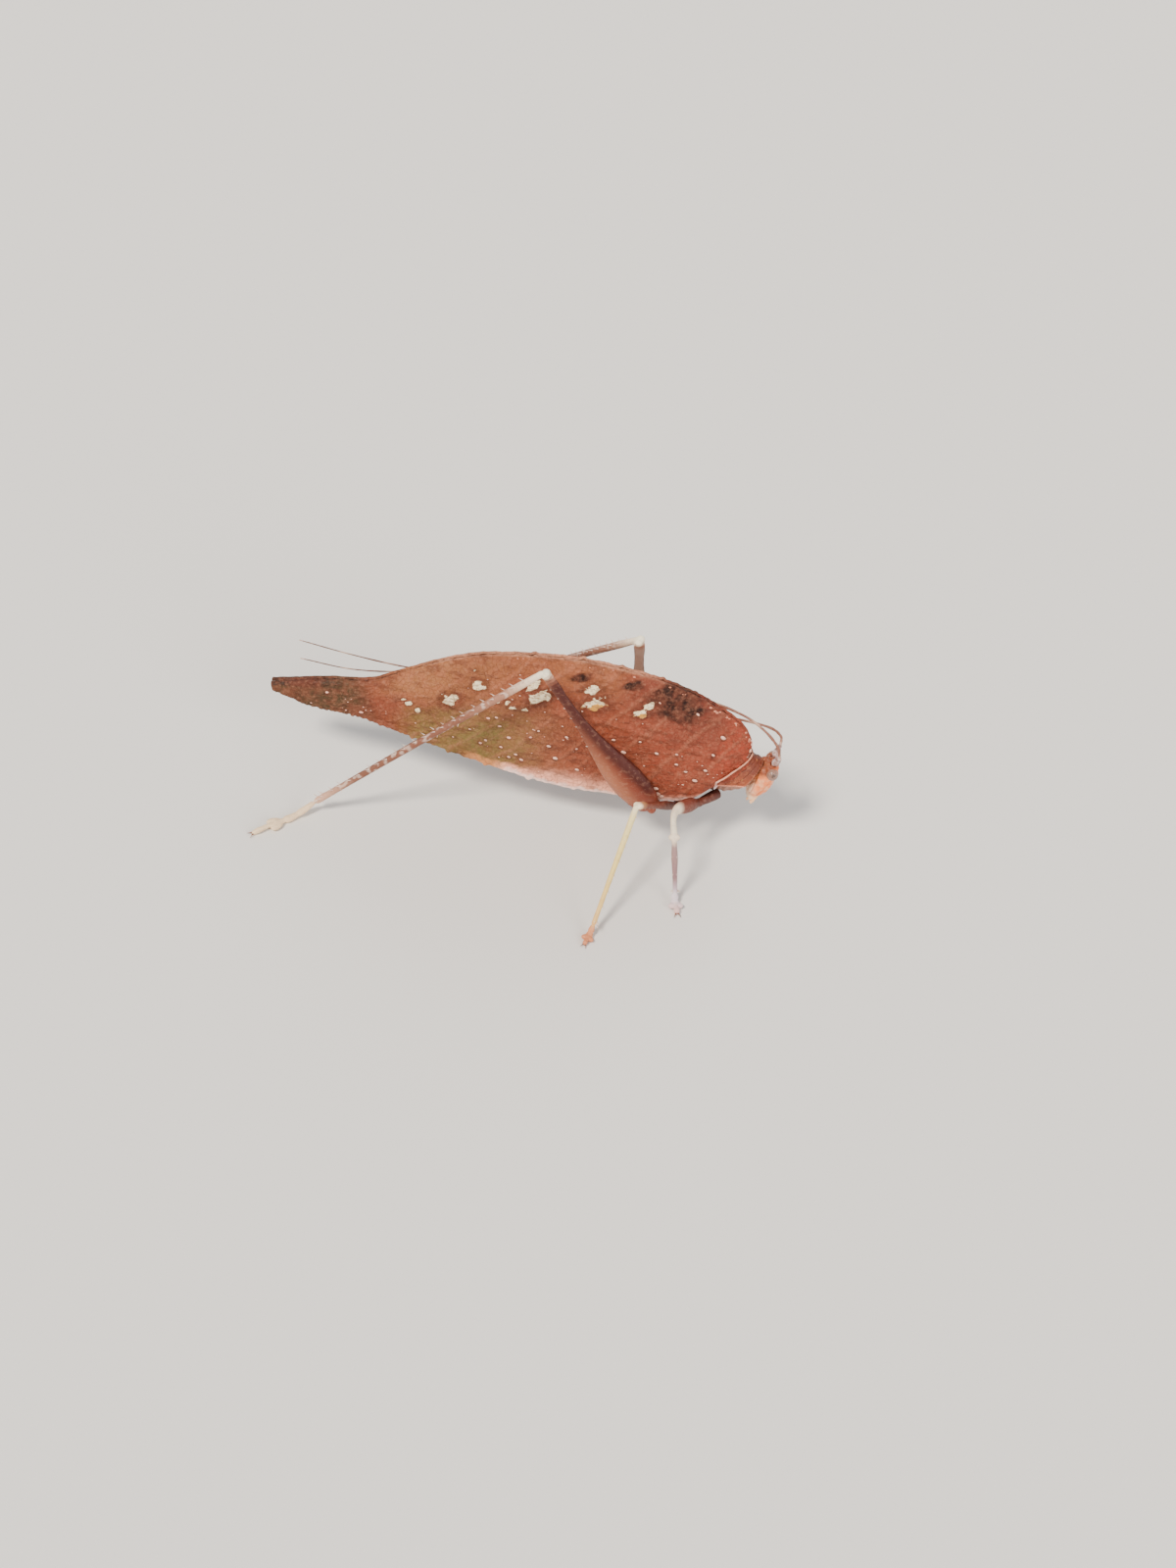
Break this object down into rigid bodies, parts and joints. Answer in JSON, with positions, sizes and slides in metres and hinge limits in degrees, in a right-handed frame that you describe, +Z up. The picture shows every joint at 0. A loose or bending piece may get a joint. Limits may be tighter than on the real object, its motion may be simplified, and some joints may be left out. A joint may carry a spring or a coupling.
{
  "type": "leaf-mimic katydid",
  "caption": "Still, life-size model of a leaf-mimic bush cricket at rest, with leaf-shaped upright wings and long folded hind legs.",
  "frame": {"origin": "on the floor, under the middle of the whole outline", "axes": "+X along the body towards the head, +Y to the insect's left, +Z up from the floor it stands on"},
  "size_m": [0.0614, 0.0446, 0.0256],
  "materials": {
    "wing": "dry, leaf-like membrane, rusty brown with cream flecks",
    "shield": "dull granular cuticle, brick red",
    "body": "soft dull cuticle, pinkish brown",
    "face": "smooth satin cuticle, peach",
    "eye": "glossy fine-faceted lens, grey lilac",
    "leg_front": "satin cuticle, whitish with pink shading",
    "leg_mid": "satin cuticle, straw yellow",
    "leg_hind": "satin cuticle, pinkish brown with pale flecks",
    "antenna": "thin ringed cuticle, pinkish grey"
  },
  "bodies": {
    "root": {"abdomen": "body", "antenna_left_1": "antenna", "antenna_left_2": "antenna", "antenna_left_3": "antenna", "antenna_right_1": "antenna", "antenna_right_2": "antenna", "antenna_right_3": "antenna", "cercus_left": "body", "cercus_right": "body", "coxa_front_left": "leg_front", "coxa_front_right": "leg_front", "coxa_hind_left": "leg_hind", "coxa_hind_right": "leg_hind", "coxa_mid_left": "leg_mid", "coxa_mid_right": "leg_mid", "eye_left": "eye", "eye_right": "eye", "femur_front_left": "leg_front", "femur_front_right": "leg_front", "femur_hind_left": "leg_hind", "femur_hind_right": "leg_hind", "femur_mid_left": "leg_mid", "femur_mid_right": "leg_mid", "fore_wing_left": "wing", "fore_wing_right": "wing", "head": "face", "hind_wing_left": "body", "hind_wing_right": "body", "neck": "body", "ovipositor": "body", "palp_labial_left": "face", "palp_labial_right": "face", "palp_maxillary_left": "face", "palp_maxillary_right": "face", "pronotum": "shield", "scape_left": "antenna", "scape_right": "antenna", "tarsus_front_left": "leg_front", "tarsus_front_right": "leg_front", "tarsus_hind_left": "leg_hind", "tarsus_hind_right": "leg_hind", "tarsus_mid_left": "leg_mid", "tarsus_mid_right": "leg_mid", "thorax": "body", "tibia_front_left": "leg_front", "tibia_front_right": "leg_front", "tibia_hind_left": "leg_hind", "tibia_hind_right": "leg_hind", "tibia_mid_left": "leg_mid", "tibia_mid_right": "leg_mid"}
  },
  "joints": []
}
